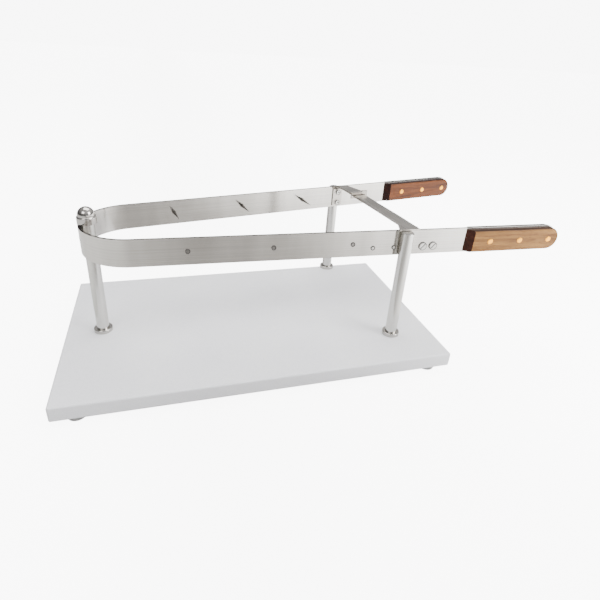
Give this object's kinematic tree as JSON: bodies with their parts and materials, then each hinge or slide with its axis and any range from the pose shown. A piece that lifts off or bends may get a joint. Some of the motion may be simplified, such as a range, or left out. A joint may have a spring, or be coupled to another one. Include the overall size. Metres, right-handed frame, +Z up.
{
  "type": "ham holder stand",
  "caption": "Ham holder stand: white plastic board on rubber feet; steel posts carry a spiked U-shaped spring clamp with wooden handles, a sliding locking bar and a ball nut.",
  "frame": {"origin": "middle of the whole stand's bounding box, on the floor under the rubber feet", "axes": "+X along the board from the nose post towards the handles, +Y from the board's near long edge to its far one, +Z up"},
  "size_m": [0.6748, 0.3268, 0.2022],
  "materials": {
    "board_plastic": "white polyethylene, fine speckle",
    "foot_rubber": "grey rubber",
    "post_steel": "satin stainless bar",
    "fitting_steel": "polished stainless turned fittings",
    "band_steel": "satin stainless strip brushed along its length",
    "bar_steel": "darker brushed plate",
    "screw_steel": "plain steel fasteners",
    "wood": "oiled brown hardwood",
    "brass": "brass rivets"
  },
  "bodies": {
    "base": {"base_board": "board_plastic", "rubber_feet": "foot_rubber", "foot_screws": "screw_steel", "nose_post": "post_steel", "front_post": "post_steel", "rear_post": "post_steel", "nose_post_flange": "fitting_steel", "front_post_flange": "fitting_steel", "rear_post_flange": "fitting_steel", "post_bolts": "screw_steel", "post_washers": "screw_steel", "rear_band": "band_steel", "rear_spikes": "fitting_steel", "rear_handle_inner_scale": "wood", "rear_handle_outer_scale": "wood", "rear_handle_rivets": "brass", "guide_plate": "bar_steel", "dog_pin": "screw_steel", "rear_post_screws": "screw_steel", "nose_screw": "screw_steel", "nose_stud": "screw_steel", "nose_collar": "fitting_steel"},
    "front_arm": {"front_band": "band_steel", "front_spikes": "fitting_steel", "front_handle_inner_scale": "wood", "front_handle_outer_scale": "wood", "front_handle_rivets": "brass", "locking_bar": "bar_steel", "leg_rivets": "screw_steel", "leg_screws": "screw_steel", "leg_nuts": "screw_steel"},
    "locking_dog": {"locking_dog": "bar_steel"},
    "ball_nut": {"ball_nut": "fitting_steel"}
  },
  "joints": [
    {"name": "front_arm_squeeze", "type": "hinge", "parent": "base", "child": "front_arm", "pos_m": [-0.29771, -0.0322, 0.164], "axis": [0, 0, 1], "range_deg": [0, 5], "stiffness_Nm_per_rad": 160},
    {"name": "locking_dog_lift", "type": "hinge", "parent": "base", "child": "locking_dog", "pos_m": [0.09547, 0.05371, 0.1865], "axis": [-0.9944, -0.1056, 0], "range_deg": [0, 6]},
    {"name": "ball_nut_turn", "type": "hinge", "parent": "base", "child": "ball_nut", "pos_m": [-0.29036, -0.01854, 0.1815], "axis": [0, 0, 1], "continuous": true}
  ]
}
